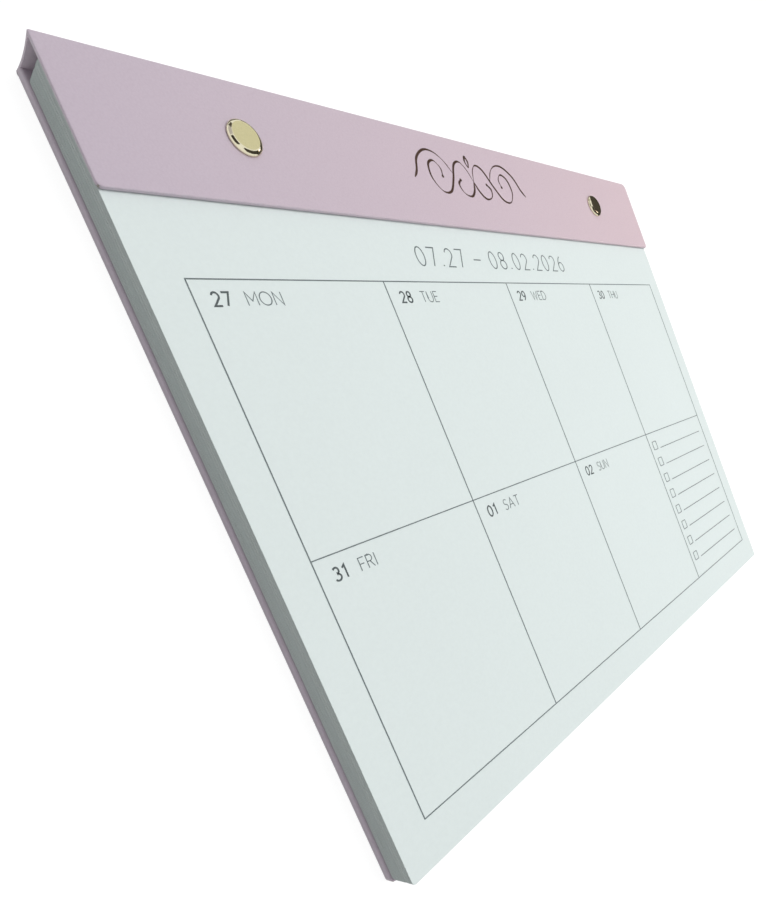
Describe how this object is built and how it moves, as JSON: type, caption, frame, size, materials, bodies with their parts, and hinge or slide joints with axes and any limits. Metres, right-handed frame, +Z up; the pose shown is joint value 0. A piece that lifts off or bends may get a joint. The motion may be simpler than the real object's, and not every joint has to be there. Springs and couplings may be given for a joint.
{
  "type": "desk pad calendar",
  "caption": "Weekly desk pad calendar: a thick block of printed sheets in a leatherette-wrapped hard case, held under its headband by screw posts.",
  "frame": {"origin": "centre of the back cover's underside, which the pad lies on", "axes": "+Z up out of the pages, +Y along the pad towards its headband and spine, +X across the pad to the reader's right"},
  "size_m": [0.281, 0.2144, 0.0146],
  "materials": {
    "leatherette": "lilac-pink fine-grained leatherette, satin",
    "greyboard": "plain grey binder's board, hidden inside the case",
    "lining_paper": "uncoated off-white lining paper",
    "sheet_paper": "smooth uncoated cool white paper",
    "post_brass": "polished pale brass plating",
    "grey_ink": "thin printed grey ink on the top sheet"
  },
  "bodies": {
    "root": {"cover_wrap": "leatherette", "back_board": "greyboard", "headband_board": "greyboard", "back_lining": "lining_paper", "headband_lining": "lining_paper", "page_block": "sheet_paper", "post_left": "post_brass", "post_right": "post_brass", "screw_left": "post_brass", "screw_right": "post_brass", "week_grid": "grey_ink", "todo_box_1": "grey_ink", "todo_box_2": "grey_ink", "todo_box_3": "grey_ink", "todo_box_4": "grey_ink", "todo_box_5": "grey_ink", "todo_box_6": "grey_ink", "todo_box_7": "grey_ink", "todo_box_8": "grey_ink", "todo_rule_1": "grey_ink", "todo_rule_2": "grey_ink", "todo_rule_3": "grey_ink", "todo_rule_4": "grey_ink", "todo_rule_5": "grey_ink", "todo_rule_6": "grey_ink", "todo_rule_7": "grey_ink", "todo_rule_8": "grey_ink"}
  },
  "joints": []
}
